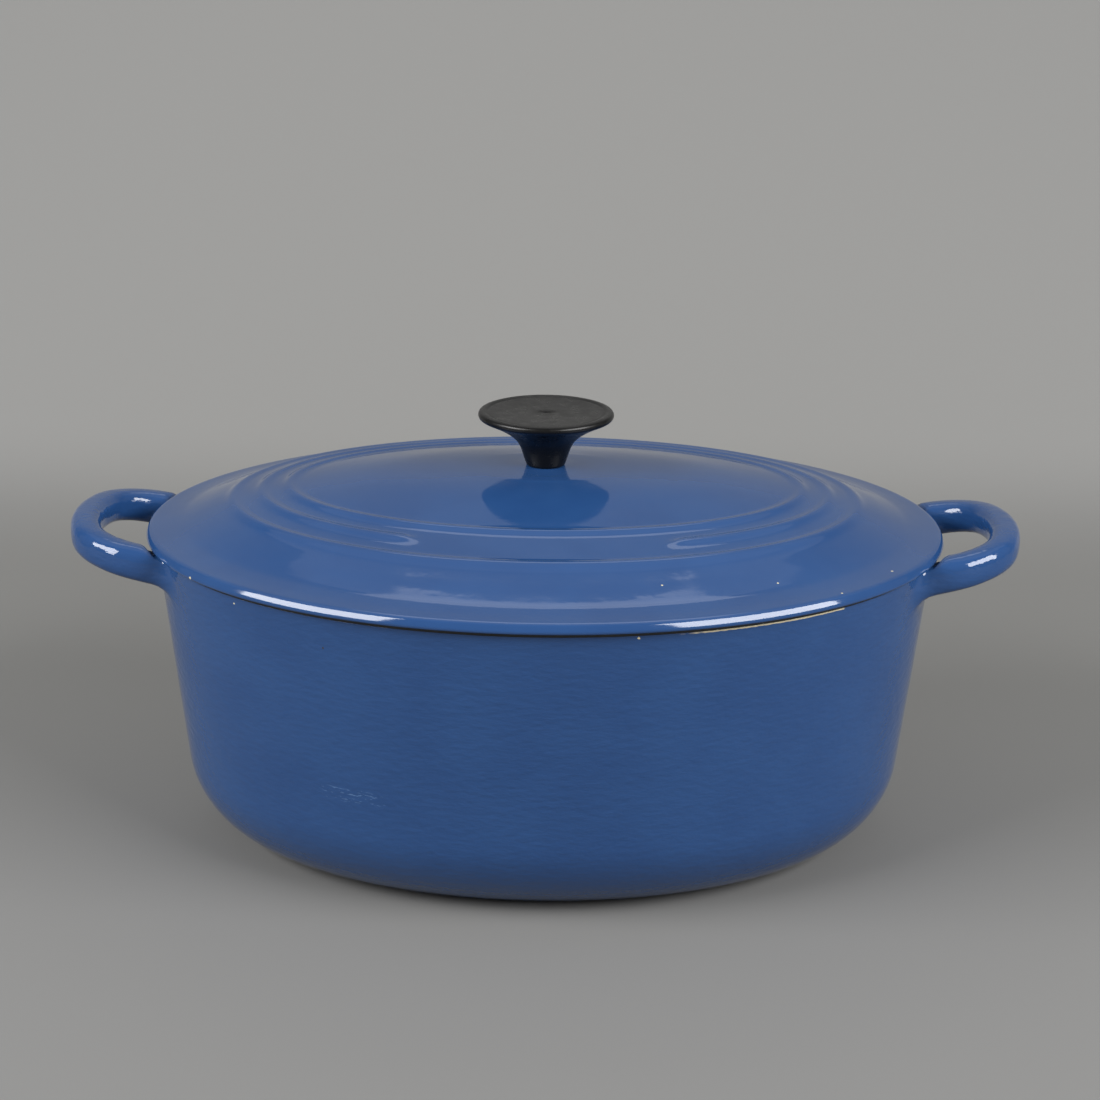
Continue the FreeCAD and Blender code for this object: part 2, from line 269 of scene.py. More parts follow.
BLUE = (0.0162, 0.0550, 0.162, 1.0)
BLUE_DEEP = (0.0142, 0.0495, 0.150, 1.0)
CREAM = (0.50, 0.44, 0.30, 1.0)         # the ground coat that shows where the blue is chipped
BARE_IRON = (0.030, 0.026, 0.022, 1.0)
SCUFF_BLUE = (0.10, 0.19, 0.36, 1.0)

# Small chips in metres: place, radius and colour.
WALL_CHIPS = [((-0.1179, -0.0841, 0.1234), 0.0004, CREAM), ((0.0367, -0.1222, 0.1252), 0.0005, CREAM),
              ((-0.0818, -0.1060, 0.1137), 0.0004, BARE_IRON)]
LID_CHIPS = [((-0.1152, -0.0920, 0.1310), 0.0005, CREAM), ((-0.1364, -0.0712, 0.1292), 0.0006, CREAM),
             ((0.0455, -0.0982, 0.1380), 0.0004, CREAM), ((0.0900, -0.0867, 0.1357), 0.0004, CREAM),
             ((0.1361, -0.0613, 0.1329), 0.0005, CREAM), ((0.1143, -0.0882, 0.1325), 0.0004, CREAM)]

# Fine scuffs low on the front: the middle of their patch, and how far it reaches along and up.
SCUFF_MIDDLE = (-0.0720, -0.1014, 0.0517)
SCUFF_REACH = 0.016
SCUFF_HALF_HEIGHT = 0.0035

# The worn stretch of the wall's top edge: where along X it fades in and out.
WORN_START = (0.066, 0.080)
WORN_END = (0.124, 0.131)


def blue_enamel(name, peel_stretch, peel_distance, chips):
    """Glossy blue vitreous enamel and its colour: clouding, orange peel, pinholes and a few chips."""
    shader = Shader(name)
    clouds = shader.noise(26.0, 3.0)
    colour = shader.mix(shader.remap(clouds, 0.35, 0.65), BLUE, BLUE_DEEP)
    colour = shader.mix(pinholes(shader), colour, BARE_IRON)
    for place, radius, chip_colour in chips:
        colour = shader.mix(chip(shader, place, radius), colour, chip_colour)
    shader.roughness(shader.remap(shader.noise(60.0, 4.0), 0.3, 0.7, 0.05, 0.10))
    shader.normal(shader.bump(shader.noise(1.0, 2.0, 0.45, stretch=peel_stretch), peel_distance))
    shader.set(IOR=1.52)
    return shader, colour


def pinholes(shader):
    """Tiny dots, only here and there."""
    dots = shader.remap(shader.cells(85.0), 0.030, 0.018)
    sparse = shader.remap(shader.noise(31.0, 1.0), 0.66, 0.70)
    return shader.math("MULTIPLY", dots, sparse)


def chip(shader, place, radius):
    """A ragged spot round a place."""
    ragged = shader.math("MULTIPLY", shader.noise(1400.0, 2.0), 1.2 * radius)
    reach = shader.math("ADD", shader.distance(place), ragged)
    return shader.remap(reach, 1.75 * radius, 1.55 * radius)


def wall_enamel():
    """The pot's blue: hammered, with a worn top edge and fine scuffs."""
    shader, colour = blue_enamel("blue_enamel_wall", (190.0, 190.0, 430.0), 0.00030, WALL_CHIPS)
    shader.colour(scuffs(shader, worn_rim(shader, colour)))
    return shader.material


def lid_enamel():
    """The lid's blue, which flowed smoother."""
    shader, colour = blue_enamel("blue_enamel_lid", (120.0, 120.0, 120.0), 0.00005, LID_CHIPS)
    shader.colour(colour)
    return shader.material


def worn_rim(shader, colour):
    """A broken pale line at the top of the wall on the right, where the blue stops short of the rim."""
    ragged = shader.math("MULTIPLY", shader.noise(420.0, 3.0), 0.0006)
    edge = shader.math("ADD", shader.axis("Z"), ragged)
    band = shader.remap(edge, RIM_Z - BAND_DEPTH - 0.0004, RIM_Z - BAND_DEPTH - 0.0002)
    along = shader.math("ADD", shader.axis("X"), shader.math("MULTIPLY", shader.noise(260.0, 3.0), 0.03))
    right = shader.math("MULTIPLY", shader.remap(along, *WORN_START), shader.remap(along, *WORN_END[::-1]))
    front = shader.math("LESS_THAN", shader.axis("Y"), 0.0)
    here = shader.math("MULTIPLY", shader.math("MULTIPLY", band, right), front)
    return shader.mix(here, colour, CREAM)


def scuffs(shader, colour):
    """A few fine pale lines in a low patch on the front."""
    near = shader.remap(shader.distance(SCUFF_MIDDLE), SCUFF_REACH, SCUFF_REACH - 0.006)
    level = shader.axis("Z")
    bottom = SCUFF_MIDDLE[2] - SCUFF_HALF_HEIGHT
    top = SCUFF_MIDDLE[2] + SCUFF_HALF_HEIGHT
    low = shader.math("MULTIPLY", shader.remap(level, bottom, bottom + 0.0015),
                      shader.remap(level, top, top - 0.0015))
    lines = shader.remap(shader.noise(1.0, 3.0, 0.6, stretch=(260.0, 260.0, 1500.0)), 0.585, 0.62)
    here = shader.math("MULTIPLY", shader.math("MULTIPLY", near, low), lines)
    return shader.mix(shader.math("MULTIPLY", here, 0.55), colour, SCUFF_BLUE)


def cream_enamel(name):
    """Pale cooking enamel, glossy, with faint warm staining."""
    shader = Shader(name)
    stains = shader.remap(shader.noise(18.0, 4.0, 0.6), 0.40, 0.72)
    shader.colour(shader.mix(stains, (0.66, 0.60, 0.47, 1.0), (0.56, 0.48, 0.34, 1.0)))
    shader.roughness(shader.remap(shader.noise(50.0, 3.0), 0.3, 0.7, 0.12, 0.22))
    shader.normal(shader.bump(shader.noise(160.0, 2.0), 0.00012))
    shader.set(IOR=1.52)
    return shader.material


def black_rim_enamel(name):
    """Matte black enamel, slightly rough, rubbed grey in places."""
    shader = Shader(name)
    rubbed = shader.remap(shader.noise(90.0, 5.0, 0.65), 0.55, 0.75)
    shader.colour(shader.mix(rubbed, (0.010, 0.010, 0.011, 1.0), (0.030, 0.028, 0.027, 1.0)))
    shader.roughness(shader.remap(shader.noise(300.0, 3.0), 0.3, 0.7, 0.42, 0.62))
    shader.normal(shader.bump(shader.noise(1500.0, 3.0), 0.00005))
    return shader.material


def cast_iron(name):
    """Raw grey iron with a sand cast grain."""
    shader = Shader(name)
    grain = shader.noise(1100.0, 4.0, 0.6)
    shader.colour(shader.mix(grain, (0.035, 0.034, 0.033, 1.0), (0.11, 0.105, 0.10, 1.0)))
    shader.set(Metallic=0.7)
    shader.roughness(shader.remap(grain, 0.3, 0.7, 0.55, 0.8))
    shader.normal(shader.bump(grain, 0.0002))
    return shader.material


def black_phenolic(name):
    """Moulded black phenolic: satin, with a fine grain and a few light scuffs."""
    shader = Shader(name)
    rubbed = shader.remap(shader.noise(1.0, 5.0, 0.6, stretch=(180.0, 900.0, 400.0)), 0.60, 0.78)
    shader.colour(shader.mix(rubbed, (0.0035, 0.0035, 0.0036, 1.0), (0.012, 0.012, 0.012, 1.0)))
    shader.roughness(shader.remap(shader.noise(260.0, 4.0), 0.3, 0.7, 0.26, 0.36))
    shader.normal(shader.bump(shader.noise(2200.0, 3.0), 0.00002))
    shader.set(IOR=1.36)
    return shader.material


def metal(name, light, dark, roughness):
    """Turned metal: fine rings of colour and roughness round the screw's axis."""
    shader = Shader(name)
    rings = shader.noise(1.0, 3.0, 0.6, stretch=(300.0, 300.0, 9000.0))
    shader.colour(shader.mix(rings, light, dark))
    shader.set(Metallic=1.0)
    shader.roughness(shader.remap(rings, 0.3, 0.7, roughness, roughness + 0.15))
    shader.normal(shader.bump(rings, 0.00003))
    return shader.material


# ---------------------------------------------------------------- mesh helpers

def piece_from(name, vertices, faces, body, material, node):
    """A smooth mesh that rides on a body and stands for one CAD node."""
    mesh = bpy.data.meshes.new(name)
    mesh.from_pydata([tuple(v) for v in vertices], [], faces)
    mesh.materials.append(material)
    piece = bpy.data.objects.new(name, mesh)
    bpy.context.scene.collection.objects.link(piece)
    mesh.shade_smooth()
    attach(piece, body)
    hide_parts(node)
    return piece


def thicken(piece, thickness, seen_side):
    """Turns a sheet into a thin closed coat. seen_side gives a direction out of it at a place."""
    bm = bmesh.new()
    bm.from_mesh(piece.data)
    bmesh.ops.recalc_face_normals(bm, faces=bm.faces)
    turned = sum(f.normal.dot(seen_side(f.calc_center_median())) * f.calc_area() for f in bm.faces)
    if turned < 0:
        bmesh.ops.reverse_faces(bm, faces=bm.faces)
    bm.to_mesh(piece.data)
    bm.free()
    coat = piece.modifiers.new("coat", "SOLIDIFY")
    coat.thickness = thickness
    coat.offset = -1.0
    return piece


def recalculate(piece):
    """Turns a closed piece's faces outwards."""
    bm = bmesh.new()
    bm.from_mesh(piece.data)
    bmesh.ops.recalc_face_normals(bm, faces=bm.faces)
    bm.to_mesh(piece.data)
    bm.free()


def quarter(start, end, count):
    """How far in and how far down an edge round of radius 1 is, at angles in degrees."""
    turns = [math.radians(a) for a in np.linspace(start, end, count)]
    return [(1 - math.cos(t), 1 - math.sin(t)) for t in turns]


def grown(axes, growth, z):
    """A level oval as half length, half width and height, grown or shrunk all round."""
    return axes[0] + growth, axes[1] + growth, z


def round_rows(rows):
    """Level circles, given as radius and height."""
    return [(radius, radius, z) for radius, z in rows]


def oval_points(rows, columns):
    """Points on level ovals, given as rows of half length, half width and height."""
    rows = np.asarray(rows, float)
    turn = np.arange(columns) * 2 * math.pi / columns
    x = rows[:, :1] * np.cos(turn)
    y = rows[:, 1:2] * np.sin(turn)
    z = np.repeat(rows[:, 2:3], columns, axis=1)
    return np.stack([x, y, z], axis=-1)


def oval_faces(row_count, columns, closed=False):
    """Quads between rows, with the last row joined to the first if closed."""
    faces = []
    for j in range(row_count if closed else row_count - 1):
        above = (j + 1) % row_count
        for i in range(columns):
            k = (i + 1) % columns
            faces.append((j * columns + i, j * columns + k, above * columns + k, above * columns + i))
    return faces


# ---------------------------------------------------------------- the pot's form

def wall_axes(z):
    """Half length and half width of the sloping wall at a height."""
    share = z / SEAT_Z
    return FOOT_LENGTH + share * (RIM_LENGTH - FOOT_LENGTH), FOOT_WIDTH + share * (RIM_WIDTH - FOOT_WIDTH)


def wall_row(z, inset=0.0):
    """A level oval at a height, as far inside the wall's outside as its inset."""
    return grown(wall_axes(z), -inset, z)


def oval_distance(x, y, length, width):
    """Distance in plan to an oval, right to first order near its line."""
    q = np.sqrt((x / length) ** 2 + (y / width) ** 2)
    steepness = np.sqrt(x ** 2 / length ** 4 + y ** 2 / width ** 4) / q
    return (q - 1) / steepness


def base_inset(z, corner):
    """How far the round at the base draws the wall in, at a height over the base."""
    below = corner - np.minimum(z, corner)
    return corner - np.sqrt(np.maximum(corner ** 2 - below ** 2, 0))


def body_distance(p):
    """Distance to the wall and the base round, without the loops."""
    x, y, z = p[:, 0], p[:, 1], p[:, 2]
    length, width, _ = wall_row(z, base_inset(np.maximum(z, 0), BASE_ROUND))
    return oval_distance(x, y, length, width)


def handle_line():
    """Centre line of the right loop in plan: straight roots, round corners and a shallow tip."""
    tip = HANDLE_TIP_X - HANDLE_WIDTH
    big_x = tip - HANDLE_TIP_RADIUS
    corner_y = HANDLE_SPAN - HANDLE_CORNER
    corner_x = big_x + math.sqrt((HANDLE_TIP_RADIUS - HANDLE_CORNER) ** 2 - corner_y ** 2)
    lean = math.atan2(corner_y, corner_x - big_x)
    points = [(x, -HANDLE_SPAN) for x in np.linspace(RIM_LENGTH - HANDLE_START, corner_x, 12, endpoint=False)]
    for angle in np.linspace(math.pi / 2, lean, 40, endpoint=False):
        x, y = HANDLE_CORNER * math.cos(angle), HANDLE_CORNER * math.sin(angle)
        points.append((corner_x + x, -corner_y - y))
    for angle in np.linspace(-lean, 0, 24):
        points.append((big_x + HANDLE_TIP_RADIUS * math.cos(angle), HANDLE_TIP_RADIUS * math.sin(angle)))
    half = np.array(points)
    return np.vstack([half, half[-2::-1] * (1, -1)])


HANDLE_LINE = handle_line()
HANDLE_TANGENT = np.gradient(HANDLE_LINE, axis=0)
HANDLE_TANGENT /= np.linalg.norm(HANDLE_TANGENT, axis=1)[:, None]
HANDLE_OUT = np.stack([HANDLE_TANGENT[:, 1], -HANDLE_TANGENT[:, 0]], axis=1)


def handle_height(x):
    """Height of a loop's centre line, which rises away from the wall."""
    return HANDLE_ROOT_Z + HANDLE_RISE * (x - RIM_LENGTH)


def handle_half_height(x):
    """Half a loop's height, which shrinks from the wall to the tip."""
    share = np.clip((x - RIM_LENGTH) / (HANDLE_TIP_X - HANDLE_WIDTH - RIM_LENGTH), 0, 1)
    return HANDLE_ROOT_HEIGHT + share * (HANDLE_TIP_HEIGHT - HANDLE_ROOT_HEIGHT)


def handle_distance(p):
    """Distance to the nearer loop's surface."""
    plan = np.stack([np.abs(p[:, 0]), p[:, 1]], axis=1)
    apart = plan[:, None, :] - HANDLE_LINE[None, :, :]
    nearest = (apart ** 2).sum(-1).argmin(1)
    closest = apart[np.arange(len(p)), nearest]
    across = (closest * HANDLE_OUT[nearest]).sum(-1)
    x = HANDLE_LINE[nearest, 0] + (closest * HANDLE_TANGENT[nearest]).sum(-1) * HANDLE_TANGENT[nearest, 0]
    up = p[:, 2] - handle_height(x)
    m = HANDLE_SQUARENESS
    q = (np.abs(across / HANDLE_WIDTH) ** m + np.abs(up / handle_half_height(x)) ** m) ** (1 / m)
    return (q - 1) * HANDLE_WIDTH


def lid_room(p):
    """Height over the sloping limit that the loops keep under, so that the lid's edge clears them."""
    beyond = oval_distance(p[:, 0], p[:, 1], LID_LENGTH, LID_WIDTH) - LID_CLEARANCE
    limit = SEAT_Z - LID_CLEARANCE + LID_ROOM_SLOPE * np.maximum(beyond, 0)
    return (p[:, 2] - limit) * LID_ROOM_EVENING


def pot_distance(p):
    """Signed distance to the pot's outside: wall, base round and both loops, with cast fillets."""
    body = body_distance(p)
    loops = smooth_max(handle_distance(p), lid_room(p), LID_ROOM_ROUND)
    fade = 1 - smooth_step(SEAT_Z - FILLET_FADE[0], SEAT_Z - FILLET_FADE[1], p[:, 2])
    fillet = HANDLE_FILLET * fade + TOP_FILLET
    return smooth_min(body, loops, fillet)


def settle(points, steps=6):
    """Moves points onto the pot's outside along its slope."""
    points = points.copy()
    reach = 0.02 * MM
    for _ in range(steps):
        value = pot_distance(points)
        slope = np.zeros_like(points)
        for axis in range(3):
            step = np.zeros(3)
            step[axis] = reach
            slope[:, axis] = (pot_distance(points + step) - pot_distance(points - step)) / (2 * reach)
        points -= (value / np.maximum((slope ** 2).sum(1), 1e-9))[:, None] * slope
    return points


def pot_rows():
    """Heights of the wall's rows of points, from the base coat up to the black band."""
    corner = BASE_ROUND
    rows = [corner * (1 - math.cos(a)) for a in np.linspace(BASE_COAT_ANGLE, math.pi / 2, 20, endpoint=False)]
    top = RIM_Z - BAND_DEPTH
    close_rows = HANDLE_ROOT_Z - CLOSE_ROWS_BELOW
    rows += list(np.linspace(corner, close_rows, 26, endpoint=False))
    rows += list(np.linspace(close_rows, top - 0.9 * MM, 11))
    rows += [top - HOLDING_ROW, top]
    return rows


def root_block(heights):
    """First and last column and row of the wall's opening for the right loop's far root."""
    turn = 2 * math.pi / POT_COLUMNS
    middle_width = wall_axes(HANDLE_ROOT_Z)[1]
    reach = HANDLE_WIDTH + OPENING_SIDE
    first = round(math.asin((HANDLE_SPAN - reach) / middle_width) / turn)
    last = round(math.asin((HANDLE_SPAN + reach) / middle_width) / turn)
    lowest = HANDLE_ROOT_Z - HANDLE_ROOT_HEIGHT - OPENING_BELOW
    bottom = min(range(len(heights)), key=lambda j: abs(heights[j] - lowest))
    below_holding_row = len(heights) - 3
    return first, last, bottom, below_holding_row


def mirrored_column(i, sx, sy):
    """The column that mirrors column i of the quarter with positive X and Y."""
    if sx < 0:
        i = POT_COLUMNS // 2 - i
    if sy < 0:
        i = -i
    return i % POT_COLUMNS


def root_opening(block, points, sx, sy):
    """Vertices of the wall round one root's opening, in order round its middle."""
    first, last, bottom, top = block
    vertices = []
    for j in range(bottom, top + 1):
        for i in range(first, last + 1):
            if j in (bottom, top) or i in (first, last):
                vertices.append(j * POT_COLUMNS + mirrored_column(i, sx, sy))
    heights = [points[v][2] for v in vertices]
    middle_z = (min(heights) + max(heights)) / 2

    def turn(v):
        return math.atan2(points[v][2] - middle_z, abs(points[v][1]) - HANDLE_SPAN)

    return sorted(vertices, key=turn)


def wall_faces(row_count, block):
    """Quads of the wall, without those that any of the four openings takes out."""
    first, last, bottom, top = block
    open_pairs = set()
    for sx in (1, -1):
        for sy in (1, -1):
            for i in range(first, last):
                open_pairs.add(frozenset([mirrored_column(i, sx, sy), mirrored_column(i + 1, sx, sy)]))
    faces = []
    for j in range(row_count - 1):
        for i in range(POT_COLUMNS):
            k = (i + 1) % POT_COLUMNS
            if bottom <= j < top and frozenset([i, k]) in open_pairs:
                continue
            a = j * POT_COLUMNS
            faces.append((a + i, a + k, a + POT_COLUMNS + k, a + POT_COLUMNS + i))
    return faces


def ring_faces(low, high):
    """Quads between two rings of the same number of vertices."""
    count = len(low)
    return [(low[k], low[(k + 1) % count], high[(k + 1) % count], high[k]) for k in range(count)]


def loop_rings(near, far, sx):
    """Rings of points along one loop, from the near root's opening to the far root's."""
    travelled = np.concatenate([[0], np.cumsum(np.linalg.norm(np.diff(HANDLE_LINE, axis=0), axis=1))])
    outward = slice(0, 20)              # the line's first points, which run straight out of the wall
    start = np.interp(RIM_LENGTH - 0.5 * MM, HANDLE_LINE[outward, 0], travelled[outward])
    middle_z = (near[:, 2].min() + near[:, 2].max()) / 2
    opening = np.arctan2(near[:, 2] - middle_z, np.abs(near[:, 1]) - HANDLE_SPAN)
    even = -math.pi + (np.arange(len(near)) + 0.5) * 2 * math.pi / len(near)
    rings = []
    for station in np.linspace(start, travelled[-1] - start, LOOP_RINGS):
        x, y = (np.interp(station, travelled, HANDLE_LINE[:, axis]) for axis in (0, 1))
        out_x, out_y = (np.interp(station, travelled, HANDLE_OUT[:, axis]) for axis in (0, 1))
        share = smooth_step(0, LOOP_TURN_IN, min(station, travelled[-1] - station) - start)
        angle = opening * (1 - share) + even * share
        across = HANDLE_WIDTH * np.cos(angle)
        up = handle_half_height(x) * np.sin(angle)
        rings.append(np.stack([sx * (x + across * out_x), y + across * out_y, handle_height(x) + up], axis=1))
    return bridge_rings(near, rings[0]) + rings + bridge_rings(rings[-1], far)


def bridge_rings(start, end):
    """The rings that lead evenly from one ring to another."""
    shares = [(k + 1) / (LOOP_BRIDGE + 1) for k in range(LOOP_BRIDGE)]
    return [start + (end - start) * share for share in shares]


def add_loop(points, faces, near, far, sx):
    """Joins the near root's opening to the far root's with a tube along the loop."""
    rings = loop_rings(np.array([points[v] for v in near]), np.array([points[v] for v in far]), sx)
    previous = near
    for ring in rings:
        start = len(points)
        points.extend(ring)
        current = list(range(start, start + len(ring)))
        faces += ring_faces(previous, current)
        previous = current
    faces += ring_faces(previous, far)


def neighbour_pairs(faces):
    """Every edge of the sheet's quads, both ways round."""
    pairs = np.array([(f[k], f[(k + 1) % 4]) for f in faces for k in range(4)])
    return np.concatenate([pairs, pairs[:, ::-1]])


def settling_share(points):
    """How far each point may settle: not at all on the plain wall, all the way near the loops."""
    share = smooth_step(0.86, 0.915, np.abs(points[:, 0]) / RIM_LENGTH)
    return share * smooth_step(SEAT_Z - 42 * MM, SEAT_Z - 32 * MM, points[:, 2])


def near_a_root(points):
    """Which points lie round a loop's root, high on the wall."""
    apart = np.hypot(np.abs(points[:, 0]) - RIM_LENGTH, np.abs(points[:, 1]) - HANDLE_SPAN)
    return (apart < 20 * MM) & (points[:, 2] > SEAT_Z - 30 * MM)


def settle_sheet(points, faces, row_count):
    """Settles the sheet on the pot's outside and evens out the points round the roots."""
    pairs = neighbour_pairs(faces)
    count = np.bincount(pairs[:, 0], minlength=len(points))
    used = count > 0
    free = used.copy()
    free[:POT_COLUMNS] = False
    free[(row_count - 1) * POT_COLUMNS:row_count * POT_COLUMNS] = False
    evened = free & near_a_root(points)
    share = settling_share(points)
    active = free & (share > 0)
    points[active] += share[active, None] * (settle(points[active]) - points[active])
    for _ in range(12):
        average = np.zeros_like(points)
        np.add.at(average, pairs[:, 0], points[pairs[:, 1]])
        average /= np.maximum(count, 1)[:, None]
        points[evened] += 0.5 * (average[evened] - points[evened])
        points[evened] = settle(points[evened], 3)
    renumber = np.cumsum(used) - 1
    return points[used], [tuple(int(renumber[v]) for v in f) for f in faces]


def pot_outside():
    """One sheet over wall and loops. Each root opens a block of the wall and a tube joins the two."""
    heights = pot_rows()
    length, width, _ = wall_row(np.array(heights), base_inset(np.array(heights), BASE_ROUND))
    rows = np.stack([length, width, heights], axis=1)
    points = list(oval_points(rows, POT_COLUMNS).reshape(-1, 3))
    block = root_block(heights)
    faces = wall_faces(len(heights), block)
    for sx in (1, -1):
        near = root_opening(block, points, sx, -1)
        far = root_opening(block, points, sx, 1)
        add_loop(points, faces, near, far, sx)
    return settle_sheet(np.array(points), faces, len(heights))


# ---------------------------------------------------------------- the pot's pieces

def pot_glaze(material):
    """Blue coat of the wall and both loops."""
    points, faces = pot_outside()
    piece = piece_from("pot_outer_glaze", points, faces, "pot", material, "pot_outer_enamel")
    return thicken(piece, SHOWN_COAT, lambda c: Vector((c.x, c.y, -0.02)))


def floor_sheet(name, rows, first_share, material, node, seen_side):
    """Coat whose level ovals run down to a flat floor, then shrink from first_share to its middle."""
    length, width, floor_z = rows[-1]
    rows = rows + [(length * share, width * share, floor_z)
                   for share in np.linspace(first_share, 0.04, 16)]
    points = np.vstack([oval_points(rows[::-1], COLUMNS).reshape(-1, 3), [(0, 0, floor_z)]])
    faces = oval_faces(len(rows), COLUMNS)
    middle = len(points) - 1
    faces += [((i + 1) % COLUMNS, i, middle) for i in range(COLUMNS)]
    piece = piece_from(name, points, faces, "pot", material, node)
    return thicken(piece, SHOWN_COAT, seen_side)


def base_glaze(material):
    """Blue coat under the base, from the foot of the wall's coat to the middle."""
    rows = []
    for angle in np.linspace(BASE_COAT_ANGLE, 0, 6):
        rows.append(wall_row(BASE_ROUND * (1 - math.cos(angle)), BASE_ROUND * (1 - math.sin(angle))))
    return floor_sheet("pot_base_glaze", rows, 0.96, material, "pot_base_enamel",
                       lambda c: Vector((0, 0, -1)))


def inner_glaze(material):
    """Cream coat inside the pot, from the black band down the wall and over the floor."""
    corner = BASE_ROUND - WALL
    rows = []
    for z in np.linspace(RIM_Z - BAND_DEPTH, FLOOR + corner, 22, endpoint=False):
        rows.append(wall_row(z, WALL))
    for angle in np.linspace(math.pi / 2, 0, 24):
        rows.append(wall_row(FLOOR + corner * (1 - math.cos(angle)), WALL + corner * (1 - math.sin(angle))))
    return floor_sheet("pot_inner_glaze", rows, 0.95, material, "pot_inner_enamel",
                       lambda c: Vector((-c.x, -c.y, 0.02)))


def rim_band(material):
    """Matte black band over the rim: flat on top, rounded on both edges, closed underneath."""
    low = RIM_Z - BAND_DEPTH
    section = [(0.0, low)]
    section += [(RIM_ROUND * a, RIM_Z - RIM_ROUND * b) for a, b in quarter(0, 90, 7)]
    section += [(WALL - RIM_ROUND * a, RIM_Z - RIM_ROUND * b) for a, b in quarter(90, 0, 7)]
    section += [(WALL, low), (WALL * 0.66, low), (WALL * 0.33, low)]
    rows = [wall_row(z, inset) for inset, z in section]
    points = oval_points(rows, COLUMNS).reshape(-1, 3)
    faces = oval_faces(len(rows), COLUMNS, closed=True)
    piece = piece_from("pot_rim_band", points, faces, "pot", material, "pot_rim_enamel")
    recalculate(piece)
    return piece


# ---------------------------------------------------------------- the lid's pieces

def lid_row(distance_in):
    """Level oval of the dome at a distance in from the lid's edge along its length."""
    length = LID_LENGTH - distance_in
    width = length - float(smooth_curve(OVAL_DIFFERENCE, distance_in))
    return length, width, SEAT_Z + LID_EDGE + float(smooth_curve(DOME_RISE, distance_in))


def raise_rings(points, distances):
    """Lifts the three rings out of the dome. The middle one stops either side of the front panel."""
    for number, ring in enumerate(RING_INSETS):
        lift = RING_HEIGHT * np.exp(-((distances - ring) / RING_SPREAD) ** 2)
        lift = np.repeat(lift[:, None], points.shape[1], axis=1)
        if number == 1:
            side = smooth_step(PANEL_HALF_LENGTH - PANEL_FADE, PANEL_HALF_LENGTH + PANEL_FADE,
                               np.abs(points[..., 0]))
            lift *= np.where(points[..., 1] < 0, side, 1.0)
        points[..., 2] += lift
    return points


def lid_glaze(material):
    """Blue coat of the lid, from its rounded edge over flange, rings and dome to the knob's seat."""
    edge = [grown((LID_LENGTH, LID_WIDTH), -back * MM, SEAT_Z + up * MM) for back, up in LID_EDGE_LINE]
    stations = np.concatenate([np.linspace(2.1, 9, 8), np.arange(10, 28, 1.0), np.arange(28, 66, 0.8),
                               np.arange(66, 140, 4.0)]) * MM
    dome = raise_rings(oval_points([lid_row(d) for d in stations], COLUMNS), stations)
    dome_top = SEAT_Z + LID_EDGE + LID_RISE
    middle = round_rows([(radius * MM, dome_top + up * MM) for radius, up in SEAT_FLARE])
    middle += round_rows([(radius * MM, KNOB_SEAT_Z - down * MM) for radius, down in KNOB_SEAT])
    sheet = np.concatenate([oval_points(edge, COLUMNS), dome, oval_points(middle, COLUMNS)])
    piece = piece_from("lid_top_glaze", sheet.reshape(-1, 3), oval_faces(len(sheet), COLUMNS), "lid",
                       material, "lid_outer_enamel")
    return thicken(piece, SHOWN_COAT, lambda c: Vector((0, 0, 1)))


def rib_outer():
    """Half length and half width of the rib's outer side."""
    back = WALL + RIB_CLEARANCE
    return RIM_LENGTH - back, RIM_WIDTH - back


def rib_inner():
    """The same of its inner side, and its distance in from the lid's edge."""
    distance = LID_LENGTH - RIM_LENGTH + WALL + RIB_CLEARANCE + RIB_WIDTH
    length, width, _ = lid_row(distance)
    return length, width, distance


def lid_under_glaze(material):
    """Cream coat under the dome, from the foot of the rib to the screw's hole."""
    length, width, start = rib_inner()
    rows = [(length, width, RIB_LOW_Z + RIB_ROUND), (length, width, SEAT_Z - COAT)]
    stations = [(start + 0.5 * MM, 0.9 * MM), (start + 1.4 * MM, 0.35 * MM), (start + 3.0 * MM, 0.0)]
    stations += [(distance * MM, 0.0) for distance in np.arange(20, 146, 3.0)]
    for distance, fall in stations:
        a, b, z = lid_row(distance)
        rows.append((a, b, z - LID_THICKNESS - fall))
    roof = rows[-1][2]
    rows += round_rows([(10 * MM, roof), (SCREW_HOLE, roof)])
    points = oval_points(rows, COLUMNS).reshape(-1, 3)
    piece = piece_from("lid_under_glaze", points, oval_faces(len(rows), COLUMNS), "lid",
                       material, "lid_inner_enamel")
    return thicken(piece, SHOWN_COAT, lambda c: Vector((0, 0, -1)))


def lid_rim_band(material):
    """Matte black coat of the locating rib and the seat outside it."""
    inner = rib_inner()[:2]
    outer = rib_outer()
    rows = [grown(inner, RIB_ROUND * a, RIB_LOW_Z + RIB_ROUND * b) for a, b in quarter(0, 90, 4)]
    rows += [grown(outer, -RIB_ROUND * a, RIB_LOW_Z + RIB_ROUND * b) for a, b in quarter(90, 0, 4)]
    rows += [grown(outer, RIB_ROUND * a, SEAT_Z - RIB_ROUND * b) for a, b in quarter(0, 90, 3)]
    rows.append((RIM_LENGTH, RIM_WIDTH, SEAT_Z))
    rows.append(grown((LID_LENGTH, LID_WIDTH), -LID_EDGE_LINE[0][0] * MM, SEAT_Z))
    points = oval_points(rows, COLUMNS).reshape(-1, 3)
    piece = piece_from("lid_rim_band", points, oval_faces(len(rows), COLUMNS), "lid",
                       material, "lid_rim_enamel")
    return thicken(piece, SHOWN_COAT, lambda c: Vector((0, 0, -1)))


# ---------------------------------------------------------------- knob

